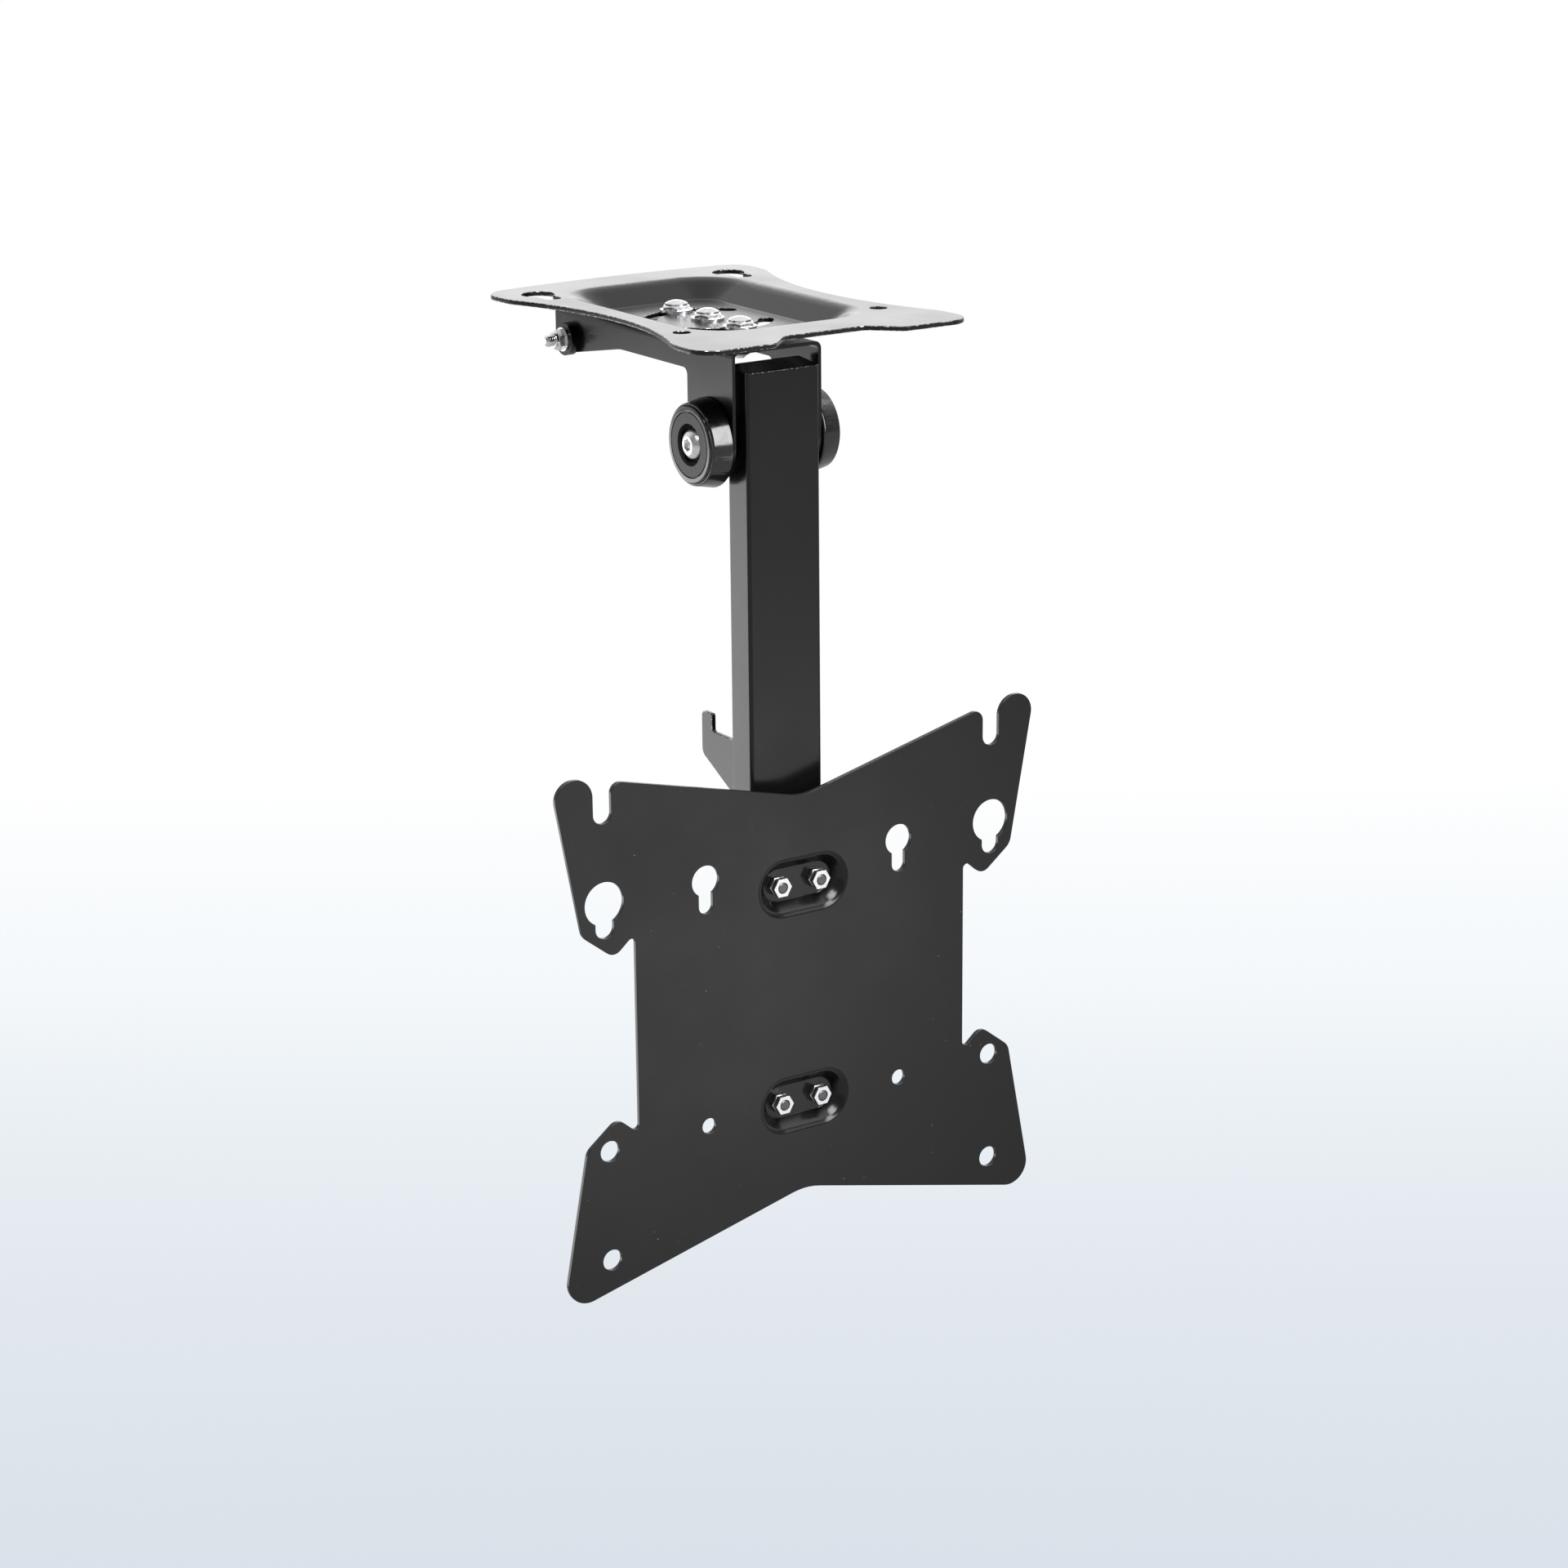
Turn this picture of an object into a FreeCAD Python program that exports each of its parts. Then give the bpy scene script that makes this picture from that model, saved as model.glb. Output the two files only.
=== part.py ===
import FreeCAD, Part
import math
import os
import Sketcher

# Fold-up ceiling mount for a flat screen, in millimetres.
# The origin is on the ceiling face, on the swivel axis. +Z is up, and the screen side faces -Y.

DRIVING_SIZES = [
    # Ceiling plate: a drawn sheet with a pan for the swivel bolts
    ("ceiling_thick", 2.0),
    ("ceiling_hole_pitch", 98.0),
    ("ceiling_hole_bore", 7.5),
    ("front_hole_reach", 56.8),
    ("key_seat_reach", 46.8),
    ("key_travel", 12.3),
    ("key_entry_bore", 14.4),
    ("ceiling_front_reach", 100.5),
    ("ceiling_rear_reach", 81.5),
    ("ceiling_rear_bow", 5.0),
    ("ceiling_corner_half", 67.5),
    ("ceiling_side_half", 66.5),
    ("ceiling_side_front", 77.0),
    ("ceiling_side_rear", 54.5),
    ("ceiling_side_sweep", 160.0),
    ("front_step_inner", 20.0),
    ("front_step_outer", 32.0),
    ("front_step_depth", 12.0),
    ("front_corner_round", 11.0),
    ("rear_corner_round", 13.0),
    ("side_blend_round", 25.0),
    ("front_step_round", 6.0),
    # Pan
    ("pan_depth", 7.7),
    ("pan_centre_back", 3.5),
    ("pan_floor_half_x", 28.6),
    ("pan_floor_half_y", 49.0),
    ("pan_wall_run", 12.5),
    ("pan_floor_corner", 9.0),
    ("pan_rim_corner", 22.0),
    ("pan_rim_blend", 14.0),
    ("pan_floor_blend", 3.0),
    ("pan_back_blend", 8.0),
    # Swivel joint
    ("swivel_bolt_radius", 25.0),
    ("swivel_half_angle", 55.0),
    ("swivel_slot_clearance", 0.3),
    ("swivel_disc_thick", 1.8),
    ("swivel_disc_across", 36.0),
    ("slide_washer_across", 14.0),
    ("m6_shank", 6.0),
    ("m6_hole_clearance", 0.2),
    ("m6_nut_flats", 10.0),
    ("m6_nut_hex_height", 4.4),
    ("m6_nut_height", 6.0),
    ("m6_bolt_tail", 1.5),
    ("thread_gap", 0.02),
    ("top_washer_across", 14.4),
    ("top_washer_thick", 1.0),
    ("top_head_flats", 11.4),
    ("top_head_hex_height", 1.8),
    ("top_head_dome_across", 9.8),
    ("top_head_rim_height", 2.6),
    ("top_head_height", 4.0),
    # Channel bracket: one folded sheet with two ears
    ("channel_width", 44.6),
    ("channel_sheet", 1.5),
    ("channel_bend", 3.2),
    ("channel_rear_reach", 90.4),
    ("channel_wall_drop", 12.0),
    ("channel_level_end", 36.0),
    ("channel_rear_drop", 22.0),
    ("channel_inner_round", 3.0),
    ("channel_slope_round", 30.0),
    ("channel_rear_round", 6.0),
    ("ear_radius", 17.5),
    # Fold pivot
    ("pivot_ahead", 35.6),
    ("pivot_below", 52.3),
    ("m8_shank", 8.0),
    ("m8_hole_clearance", 0.2),
    ("m8_head_across", 13.5),
    ("m8_head_height", 4.4),
    ("m8_socket_flats", 5.0),
    ("m8_socket_depth", 2.6),
    ("m8_head_proud", 0.9),
    ("m8_nut_flats", 13.0),
    ("m8_nut_height", 4.2),
    ("knob_height", 10.7),
    ("knob_draft", 1.5),
    ("knob_base_round", 1.2),
    ("knob_shoulder", 0.8),
    ("knob_crease_wide", 0.3),
    ("knob_crease_deep", 0.25),
    ("knob_rim_back", 1.0),
    ("knob_rim_wide", 2.3),
    ("knob_rim_round", 1.1),
    ("disc_across", 27.2),
    ("disc_bore", 18.0),
    ("disc_thick", 1.9),
    ("disc_groove", 0.6),
    ("ear_washer_across", 30.0),
    ("ear_washer_thick", 0.9),
    ("pivot_spacer_across", 12.0),
    ("pivot_end_gap", 0.15),
    ("pivot_spacer_play", 0.05),
    # Latch bolt across the rear of the channel
    ("latch_back", 77.85),
    ("latch_below", 24.8),
    ("m5_shank", 5.0),
    ("m5_hole_clearance", 0.15),
    ("latch_boss_across", 14.4),
    ("latch_boss_height", 3.5),
    ("m5_head_flats", 8.0),
    ("m5_head_height", 3.5),
    ("m5_flange_across", 10.6),
    ("m5_flange_thick", 1.0),
    ("m5_nut_hex_height", 4.4),
    ("m5_nut_collar_across", 7.6),
    ("m5_nut_height", 5.9),
    ("latch_bolt_tail", 3.7),
    # Arm: rectangular tube with end plugs, hinge bracket and hook
    ("tube_width", 36.5),
    ("tube_depth", 15.5),
    ("tube_wall", 1.5),
    ("tube_round", 1.6),
    ("tube_front_reach", 57.8),
    ("arm_top", 20.5),
    ("arm_bottom", 364.0),
    ("plug_flange", 1.2),
    ("top_cap_rise", 1.65),
    ("plug_insert", 10.0),
    ("plug_clearance", 0.1),
    ("hinge_width", 11.0),
    ("hinge_sheet", 2.0),
    ("hinge_top_margin", 8.0),
    ("hinge_bottom_margin", 9.0),
    ("hinge_rear_margin", 3.1),
    ("hinge_round", 4.0),
    ("latch_stroke", 20.6),
    ("slot_clearance", 0.15),
    ("hook_sheet", 2.0),
    ("hook_offset", 2.2),
    ("hook_latch_gap", 0.3),
    ("hook_finger_width", 8.5),
    ("hook_finger_height", 7.9),
    ("hook_notch_below", 188.9),
    ("hook_finger_drop", 11.6),
    ("hook_root_drop", 36.4),
    ("hook_tip_round", 2.5),
    ("hook_heel_round", 4.0),
    # Screen plate
    ("screen_sheet", 2.0),
    ("screen_centre_below", 293.0),
    ("pattern_half_wide", 100.0),
    ("pattern_half_narrow", 50.0),
    ("screen_spacer_thick", 4.6),
    ("screen_spacer_half_wide", 17.0),
    ("screen_spacer_half_high", 7.0),
    ("screen_spacer_round", 2.0),
    ("screen_gap", 6.1),
    ("valley_half_height", 90.0),
    ("wing_slope", 0.245),
    ("wing_top_half", 116.7),
    ("wing_tip_wide", 19.6),
    ("wing_foot_half", 124.8),
    ("wing_foot_drop", 120.1),
    ("knee_half_x", 111.0),
    ("knee_half_z", 48.0),
    ("toe_half_x", 95.8),
    ("toe_half_z", 36.2),
    ("waist_half_x", 85.2),
    ("waist_half_z", 45.2),
    ("open_slot_width", 8.8),
    ("valley_round", 30.0),
    ("shoulder_round", 4.5),
    ("wing_inner_round", 8.8),
    ("wing_tip_round", 8.5),
    ("knee_round", 7.0),
    ("toe_round", 5.0),
    ("waist_round", 2.0),
    ("foot_round", 10.0),
    ("wide_key_entry", 19.0),
    ("wide_key_neck", 9.0),
    ("wide_key_travel", 10.8),
    ("narrow_key_entry", 13.6),
    ("narrow_key_neck", 7.0),
    ("narrow_key_travel", 11.2),
    ("wide_hole_bore", 9.4),
    ("narrow_hole_bore", 7.0),
    ("recess_half_pitch", 50.0),
    ("recess_floor_radius", 7.3),
    ("recess_wall_run", 4.6),
    ("recess_sheet", 1.6),
    ("recess_skin", 1.0),
    ("recess_rim_blend", 3.5),
    ("recess_floor_blend", 0.8),
    ("screen_bolt_half_pitch", 10.0),
    ("screen_bolt_head_across", 9.0),
    ("screen_bolt_head_height", 2.8),
    ("screen_nut_flats", 8.0),
    ("jam_nut_height", 2.4),
    ("screen_nut_height", 2.6),
    ("screen_bolt_proud", 0.1),
]

HEX_CORNER = 1 / math.cos(math.radians(30))
NUT_CHAMFER = 0.12
TINY = 0.001


class Size:
    """A length that carries its value and the spreadsheet expression behind it."""

    def __init__(self, value, text):
        self.value = value
        self.text = text

    def __add__(self, other):
        other = as_size(other)
        return Size(self.value + other.value, f"({self.text} + {other.text})")

    def __sub__(self, other):
        other = as_size(other)
        return Size(self.value - other.value, f"({self.text} - {other.text})")

    def __mul__(self, other):
        other = as_size(other)
        return Size(self.value * other.value, f"({self.text} * {other.text})")

    def __truediv__(self, other):
        other = as_size(other)
        return Size(self.value / other.value, f"({self.text} / {other.text})")

    def __neg__(self):
        return Size(-self.value, f"(-1 * {self.text})")

    def __radd__(self, other):
        return as_size(other) + self

    def __rsub__(self, other):
        return as_size(other) - self

    def __rmul__(self, other):
        return as_size(other) * self


class Sizes:
    """Every driving size by name."""


def as_size(number):
    if isinstance(number, Size):
        return number
    return Size(float(number), repr(float(number)))


def sine(angle):
    return Size(math.sin(math.radians(angle.value)), f"sin({angle.text})")


def cosine(angle):
    return Size(math.cos(math.radians(angle.value)), f"cos({angle.text})")


doc = FreeCAD.newDocument("CeilingMount")
sheet = doc.addObject("Spreadsheet::Sheet", "Sizes")
d = Sizes()
for row, (name, value) in enumerate(DRIVING_SIZES, start=1):
    sheet.set(f"A{row}", name)
    sheet.set(f"B{row}", str(value))
    sheet.setAlias(f"B{row}", name)
    setattr(d, name, Size(value, f"Sizes.{name}"))
doc.recompute()
bodies = []


def bind(thing, path, size):
    """Ties one property of an object to the spreadsheet."""
    thing.setExpression(path, as_size(size).text)


def new_body(label):
    body = doc.addObject("PartDesign::Body", label)
    body.Label = label
    bodies.append(body)
    return body


def sketch_on(body, role, offset=0):
    """A sketch on one of the body's own planes, moved along that plane's normal."""
    plane = [item for item in body.Origin.OriginFeatures if item.Role == role][0]
    sketch = body.newObject("Sketcher::SketchObject", f"{body.Name}_sketch")
    sketch.AttachmentSupport = [(plane, "")]
    sketch.MapMode = "FlatFace"
    bind(sketch, "AttachmentOffset.Base.z", offset)
    return sketch


def pin_point(sketch, item, end, x, y):
    """Fixes one end of a sketch item to two bound coordinates."""
    for kind, size in (("DistanceX", as_size(x)), ("DistanceY", as_size(y))):
        index = sketch.addConstraint(Sketcher.Constraint(kind, -1, 1, item, end, size.value))
        sketch.setExpression(f"Constraints[{index}]", size.text)


def outline(sketch, points, arcs=None):
    """A closed outline. arcs gives, for an edge's number, the rule and size that round it."""
    arcs = arcs or {}
    points = [(as_size(x), as_size(y)) for x, y in points]
    first = sketch.GeometryCount
    count = len(points)
    ends = []
    for index in range(count):
        start = FreeCAD.Vector(points[index][0].value, points[index][1].value, 0)
        finish = FreeCAD.Vector(*[size.value for size in points[(index + 1) % count]], 0)
        if index in arcs:
            ends.append(add_arc(sketch, start, finish, arcs[index]))
        else:
            sketch.addGeometry(Part.LineSegment(start, finish))
            ends.append((1, 2))
    for index in range(count):
        follower = (index + 1) % count
        link = Sketcher.Constraint("Coincident", first + index, ends[index][1],
                                   first + follower, ends[follower][0])
        sketch.addConstraint(link)
    for index, (x, y) in enumerate(points):
        pin_point(sketch, first + index, ends[index][0], x, y)
    for index, rule in arcs.items():
        hold_arc(sketch, first + index, rule)


def add_arc(sketch, start, finish, rule):
    """Draws the arc from start to finish and says which of its ends is which."""
    kind, size, side = rule
    chord = finish.sub(start)
    middle = start.add(chord.multiply(0.5))
    along = finish.sub(start)
    left = FreeCAD.Vector(-along.y, along.x, 0).normalize()
    half = along.Length / 2
    reach = size.value if kind == "radius" else half
    lift = math.sqrt(max(reach * reach - half * half, 0))
    centre = middle.add(left.multiply(side * lift))
    angles = [math.atan2(end.y - centre.y, end.x - centre.x) for end in (start, finish)]
    circle = Part.Circle(centre, FreeCAD.Vector(0, 0, 1), reach)
    if side > 0:
        sketch.addGeometry(Part.ArcOfCircle(circle, angles[0], angles[1]))
        return (1, 2)
    sketch.addGeometry(Part.ArcOfCircle(circle, angles[1], angles[0]))
    return (2, 1)


def hold_arc(sketch, item, rule):
    """Binds the one freedom that an arc between two fixed points has."""
    kind, size, _ = rule
    if kind == "radius":
        index = sketch.addConstraint(Sketcher.Constraint("Radius", item, size.value))
        sketch.setExpression(f"Constraints[{index}]", size.text)
        return
    axis, place = size
    index = sketch.addConstraint(Sketcher.Constraint(axis, -1, 1, item, 3, place.value))
    sketch.setExpression(f"Constraints[{index}]", place.text)


def circle(sketch, x, y, radius):
    x, y, radius = as_size(x), as_size(y), as_size(radius)
    ring = Part.Circle(FreeCAD.Vector(x.value, y.value, 0), FreeCAD.Vector(0, 0, 1), radius.value)
    item = sketch.addGeometry(ring)
    pin_point(sketch, item, 3, x, y)
    index = sketch.addConstraint(Sketcher.Constraint("Radius", item, radius.value))
    sketch.setExpression(f"Constraints[{index}]", radius.text)


def half_turn(axis, place):
    """A rule for a half circle, held by one coordinate of its centre."""
    return ("bulge", (axis, as_size(place)), 1)


def level_slot(sketch, left, right, y, radius):
    """A slot with round ends that runs along the sketch's first axis."""
    points = [(left, y - radius), (right, y - radius), (right, y + radius), (left, y + radius)]
    outline(sketch, points, {1: half_turn("DistanceX", right), 3: half_turn("DistanceX", left)})


def upright_slot(sketch, x, low, high, radius):
    """A slot with round ends that runs along the sketch's second axis."""
    points = [(x + radius, low), (x + radius, high), (x - radius, high), (x - radius, low)]
    outline(sketch, points, {1: half_turn("DistanceY", high), 3: half_turn("DistanceY", low)})


def rectangle(sketch, left, low, right, high):
    outline(sketch, [(left, low), (right, low), (right, high), (left, high)])


def round_rectangle(sketch, half_x, half_y, middle_y, corner):
    """A rectangle centred on the second axis, with quarter-round corners."""
    right, left = half_x, -half_x
    high, low = middle_y + half_y, middle_y - half_y
    points = [(left + corner, low), (right - corner, low), (right, low + corner),
              (right, high - corner), (right - corner, high), (left + corner, high),
              (left, high - corner), (left, low + corner)]
    outline(sketch, points, {edge: ("radius", corner, 1) for edge in (1, 3, 5, 7)})


def hexagon(sketch, flats):
    corner = flats / 2 * HEX_CORNER
    turns = [math.radians(60 * step) for step in range(6)]
    outline(sketch, [(corner * math.cos(turn), corner * math.sin(turn)) for turn in turns])


def pad(body, sketch, length, reverse=False, symmetric=False):
    feature = body.newObject("PartDesign::Pad", f"{body.Name}_pad")
    feature.Profile = sketch
    bind(feature, "Length", length)
    feature.Reversed = reverse
    if symmetric:
        feature.SideType = "Symmetric"
    sketch.Visibility = False
    doc.recompute()
    return feature


def pocket(body, sketch, length, reverse=False, symmetric=False):
    """Cuts a sketch out of the body and makes sure that it took something away."""
    before = body.Shape.Volume
    feature = body.newObject("PartDesign::Pocket", f"{body.Name}_pocket")
    feature.Profile = sketch
    bind(feature, "Length", length)
    feature.Reversed = reverse
    if symmetric:
        feature.SideType = "Symmetric"
    doc.recompute()
    if body.Shape.Volume > before - TINY:
        raise RuntimeError(f"{feature.Name} cuts nothing")
    return feature


def revolve(body, sketch, cut=False):
    """Turns a sketch about its own vertical axis, as material or as a groove."""
    kind = "PartDesign::Groove" if cut else "PartDesign::Revolution"
    feature = body.newObject(kind, f"{body.Name}_turned")
    feature.Profile = sketch
    feature.ReferenceAxis = (sketch, ["V_Axis"])
    feature.Angle = 360
    doc.recompute()
    return feature


def loft(body, lower, upper, cut=False):
    kind = "PartDesign::SubtractiveLoft" if cut else "PartDesign::AdditiveLoft"
    feature = body.newObject(kind, f"{body.Name}_loft")
    feature.Profile = lower
    feature.Sections = [upper]
    feature.Ruled = True
    doc.recompute()
    return feature


def fillet(body, radius, picked):
    """Rounds the edges of the body's last feature that picked accepts."""
    base = body.Tip
    names = [f"Edge{number}" for number, edge in enumerate(base.Shape.Edges, start=1) if picked(edge)]
    if not names:
        raise RuntimeError(f"no edge to round on {body.Name}")
    feature = body.newObject("PartDesign::Fillet", f"{body.Name}_fillet")
    feature.Base = (base, names)
    bind(feature, "Radius", radius)
    doc.recompute()
    return feature


def corner_edges(axis, corners):
    """Accepts straight edges along axis that stand on one of the given corners."""
    across = [index for index in range(3) if index != axis]
    targets = [[as_size(size).value for size in corner] for corner in corners]

    def picked(edge):
        ends = [vertex.Point for vertex in edge.Vertexes]
        if len(ends) != 2 or abs(ends[0][axis] - ends[1][axis]) < TINY:
            return False
        for target in targets:
            if all(math.dist([end[index] for index in across], target) < 0.01 for end in ends):
                return True
        return False
    return picked


def level_edges(axis, level, inside):
    """Accepts edges that lie at one level of an axis and inside a box of half sizes and centre."""
    level = as_size(level).value
    across = [index for index in range(3) if index != axis]
    half, centre = [[as_size(size).value for size in item] for item in inside]

    def picked(edge):
        box = edge.BoundBox
        low = (box.XMin, box.YMin, box.ZMin)
        high = (box.XMax, box.YMax, box.ZMax)
        if abs(low[axis] - level) > 0.01 or abs(high[axis] - level) > 0.01:
            return False
        for place, index in enumerate(across):
            if low[index] < centre[place] - half[place] - 0.01:
                return False
            if high[index] > centre[place] + half[place] + 0.01:
                return False
        return True
    return picked


def place(body, base, turn_axis=(0, 0, 1), turn=0):
    """Turns a part that was built on its own Z axis and moves it to its seat."""
    body.Placement = FreeCAD.Placement(FreeCAD.Vector(0, 0, 0),
                                       FreeCAD.Rotation(FreeCAD.Vector(*turn_axis), turn))
    for axis, size in zip("xyz", base):
        bind(body, f"Placement.Base.{axis}", size)
    doc.recompute()


# Places that several parts share
pivot_y = -d.pivot_ahead
pivot_z = -d.pivot_below
pan_floor_top = -d.pan_depth
pan_floor_under = pan_floor_top - d.ceiling_thick
web_top = pan_floor_under - d.swivel_disc_thick
web_under = web_top - d.channel_sheet
channel_half = d.channel_width / 2
channel_inner = channel_half - d.channel_sheet
m6_bore = d.m6_shank / 2 + d.m6_hole_clearance
m8_bore = d.m8_shank / 2 + d.m8_hole_clearance
m5_bore = d.m5_shank / 2 + d.m5_hole_clearance
tube_front = -d.tube_front_reach
tube_rear = tube_front + d.tube_depth
screen_z = -d.screen_centre_below
screen_seat = tube_front - d.screen_spacer_thick
screen_front = screen_seat - d.recess_sheet - d.screen_gap
screen_rear = screen_front + d.screen_sheet
knob_face = channel_half + d.knob_height
head_seat = knob_face + d.m8_head_proud - d.m8_head_height
hinge_half = d.hinge_width / 2
SWIVEL_PLACES = (("front", -1), ("middle", 0), ("rear", 1))
SIDES = (("left", -1), ("right", 1))


def arc_slot(sketch, radius, half_angle, half_width, side):
    """A slot bent about the origin, centred on the first axis's normal, on one side of it."""
    inner = radius - half_width
    outer = radius + half_width
    points = []
    for reach, turn in ((inner, 1), (outer, 1), (outer, -1), (inner, -1)):
        points.append((reach * sine(half_angle) * turn * side, reach * cosine(half_angle) * side))
    cap = half_turn("DistanceY", radius * cosine(half_angle) * side)
    outline(sketch, points, {0: cap, 1: ("radius", outer, 1), 2: cap, 3: ("radius", inner, -1)})


def make_ceiling_plate():
    """Lobed sheet with a drawn pan, two keyholes behind, two holes in front and two arc slots."""
    body = new_body("ceiling_plate")
    front, rear = -d.ceiling_front_reach, d.ceiling_rear_reach - d.ceiling_rear_bow
    step = front + d.front_step_depth
    side_front, side_rear = -d.ceiling_side_front, d.ceiling_side_rear
    right = [(d.front_step_inner, step), (d.front_step_outer, front), (d.ceiling_corner_half, front),
             (d.ceiling_side_half, side_front), (d.ceiling_side_half, side_rear),
             (d.ceiling_corner_half, rear)]
    left = [(-x, y) for x, y in reversed(right)]
    sketch = sketch_on(body, "XY_Plane")
    bow = d.ceiling_rear_bow
    rear_radius = (d.ceiling_corner_half * d.ceiling_corner_half + bow * bow) / (bow * 2)
    sweep = ("radius", d.ceiling_side_sweep, -1)
    outline(sketch, right + left, {3: sweep, 5: ("radius", rear_radius, 1), 7: sweep})
    pad(body, sketch, d.ceiling_thick, reverse=True)
    both = lambda points: points + [(-x, y) for x, y in points]
    fillet(body, d.front_corner_round, corner_edges(2, both([right[2]])))
    fillet(body, d.rear_corner_round, corner_edges(2, both([right[5]])))
    fillet(body, d.side_blend_round, corner_edges(2, both([right[3], right[4]])))
    fillet(body, d.front_step_round, corner_edges(2, both([right[0], right[1]])))
    draw_pan(body)
    cut_ceiling_holes(body)


def pan_sketch(body, level, run, corner):
    sketch = sketch_on(body, "XY_Plane", level)
    round_rectangle(sketch, d.pan_floor_half_x + run, d.pan_floor_half_y + run,
                    -d.pan_centre_back, corner)
    return sketch


def draw_pan(body):
    """Presses the pan down: first its underside, then its hollow, each with soft bends."""
    run = d.pan_wall_run
    under = -d.ceiling_thick
    window = ((d.pan_floor_half_x + run, d.pan_floor_half_y + run), (0, -d.pan_centre_back))
    loft(body, pan_sketch(body, under, run, d.pan_rim_corner),
         pan_sketch(body, pan_floor_under, 0, d.pan_floor_corner))
    fillet(body, d.pan_back_blend, level_edges(2, under, window))
    fillet(body, d.pan_floor_blend + d.ceiling_thick, level_edges(2, pan_floor_under, window))
    loft(body, pan_sketch(body, 0, run, d.pan_rim_corner),
         pan_sketch(body, pan_floor_top, 0, d.pan_floor_corner), cut=True)
    fillet(body, d.pan_rim_blend, level_edges(2, 0, window))
    fillet(body, d.pan_floor_blend, level_edges(2, pan_floor_top, window))


def cut_ceiling_holes(body):
    half = d.ceiling_hole_pitch / 2
    neck = d.ceiling_hole_bore / 2
    entry = d.key_seat_reach + d.key_travel
    through = pan_floor_under * -1 + 1
    rounds = sketch_on(body, "XY_Plane")
    slots = sketch_on(body, "XY_Plane")
    for _, side in SIDES:
        circle(rounds, half * side, -d.front_hole_reach, neck)
        circle(rounds, half * side, entry, d.key_entry_bore / 2)
        upright_slot(slots, half * side, d.key_seat_reach, entry, neck)
    circle(rounds, 0, 0, m6_bore)
    for side in (-1, 1):
        arc_slot(slots, d.swivel_bolt_radius, d.swivel_half_angle,
                 d.m6_shank / 2 + d.swivel_slot_clearance, side)
    pocket(body, rounds, through)
    pocket(body, slots, through)


def make_channel_bracket():
    """Folded sheet: a web under the pan, two long walls and two round ears for the pivot."""
    body = new_body("channel_bracket")
    front, behind = pivot_y - d.ear_radius, pivot_y + d.ear_radius
    level = web_top - d.channel_wall_drop
    tail = web_top - d.channel_rear_drop
    profile = [(front, web_top), (front, pivot_z), (behind, pivot_z), (behind, level),
               (d.channel_level_end, level), (d.channel_rear_reach, tail),
               (d.channel_rear_reach, web_top)]
    sketch = sketch_on(body, "YZ_Plane")
    outline(sketch, profile, {1: half_turn("DistanceY", pivot_z)})
    pad(body, sketch, d.channel_width, symmetric=True)
    fillet(body, d.channel_inner_round, corner_edges(0, [profile[3]]))
    fillet(body, d.channel_slope_round, corner_edges(0, [profile[4]]))
    fillet(body, d.channel_rear_round, corner_edges(0, [profile[5]]))
    hollow = sketch_on(body, "XZ_Plane", -d.channel_rear_reach)
    rectangle(hollow, -channel_inner, pivot_z - d.ear_radius - 1, channel_inner, web_under)
    pocket(body, hollow, d.channel_rear_reach - front, reverse=True)
    fillet(body, d.channel_bend, corner_edges(1, [(-channel_half, web_top), (channel_half, web_top)]))
    inner_corners = [(-channel_inner, web_under), (channel_inner, web_under)]
    fillet(body, d.channel_bend - d.channel_sheet, corner_edges(1, inner_corners))
    bores = sketch_on(body, "YZ_Plane")
    circle(bores, pivot_y, pivot_z, m8_bore)
    circle(bores, d.latch_back, -d.latch_below, m5_bore)
    pocket(body, bores, d.channel_width, symmetric=True)
    seats = sketch_on(body, "XY_Plane", web_top)
    for _, step in SWIVEL_PLACES:
        circle(seats, 0, d.swivel_bolt_radius * step, m6_bore)
    pocket(body, seats, d.channel_sheet)


def make_ring(label, outer, bore, height):
    """A flat ring on its own Z axis, standing on z = 0."""
    body = new_body(label)
    sketch = sketch_on(body, "XY_Plane")
    circle(sketch, 0, 0, outer)
    circle(sketch, 0, 0, bore)
    pad(body, sketch, height)
    return body


def chamfer_hex(body, flats, level, up):
    """Turns the corners off one end of a hexagon, as on a real nut or bolt head."""
    reach = flats / 2 * HEX_CORNER
    drop = flats * NUT_CHAMFER * up
    sketch = sketch_on(body, "XZ_Plane")
    outline(sketch, [(flats * 0.47, level), (reach + 0.5, level), (reach + 0.5, level - drop)])
    revolve(body, sketch, cut=True)


def make_bolt(label, flats, head, shank, length, point=0.1):
    """A hex bolt on its own Z axis: head below z = 0, shank above, with a chamfered point."""
    body = new_body(label)
    hexed = sketch_on(body, "XY_Plane")
    hexagon(hexed, flats)
    pad(body, hexed, head, reverse=True)
    chamfer_hex(body, flats, -head, -1)
    stem = sketch_on(body, "XY_Plane")
    circle(stem, 0, 0, shank / 2)
    pad(body, stem, length)
    tip = sketch_on(body, "XZ_Plane")
    outline(tip, [(shank * (0.5 - point), length), (shank * 0.6, length),
                  (shank * 0.6, length - shank * (point + 0.1))])
    revolve(body, tip, cut=True)
    return body


def make_nut(label, flats, height, bore, both_ends=True):
    """A plain hex nut standing on z = 0."""
    body = new_body(label)
    sketch = sketch_on(body, "XY_Plane")
    hexagon(sketch, flats)
    circle(sketch, 0, 0, bore)
    pad(body, sketch, height)
    chamfer_hex(body, flats, height, 1)
    if both_ends:
        chamfer_hex(body, flats, as_size(0), -1)
    return body


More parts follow.
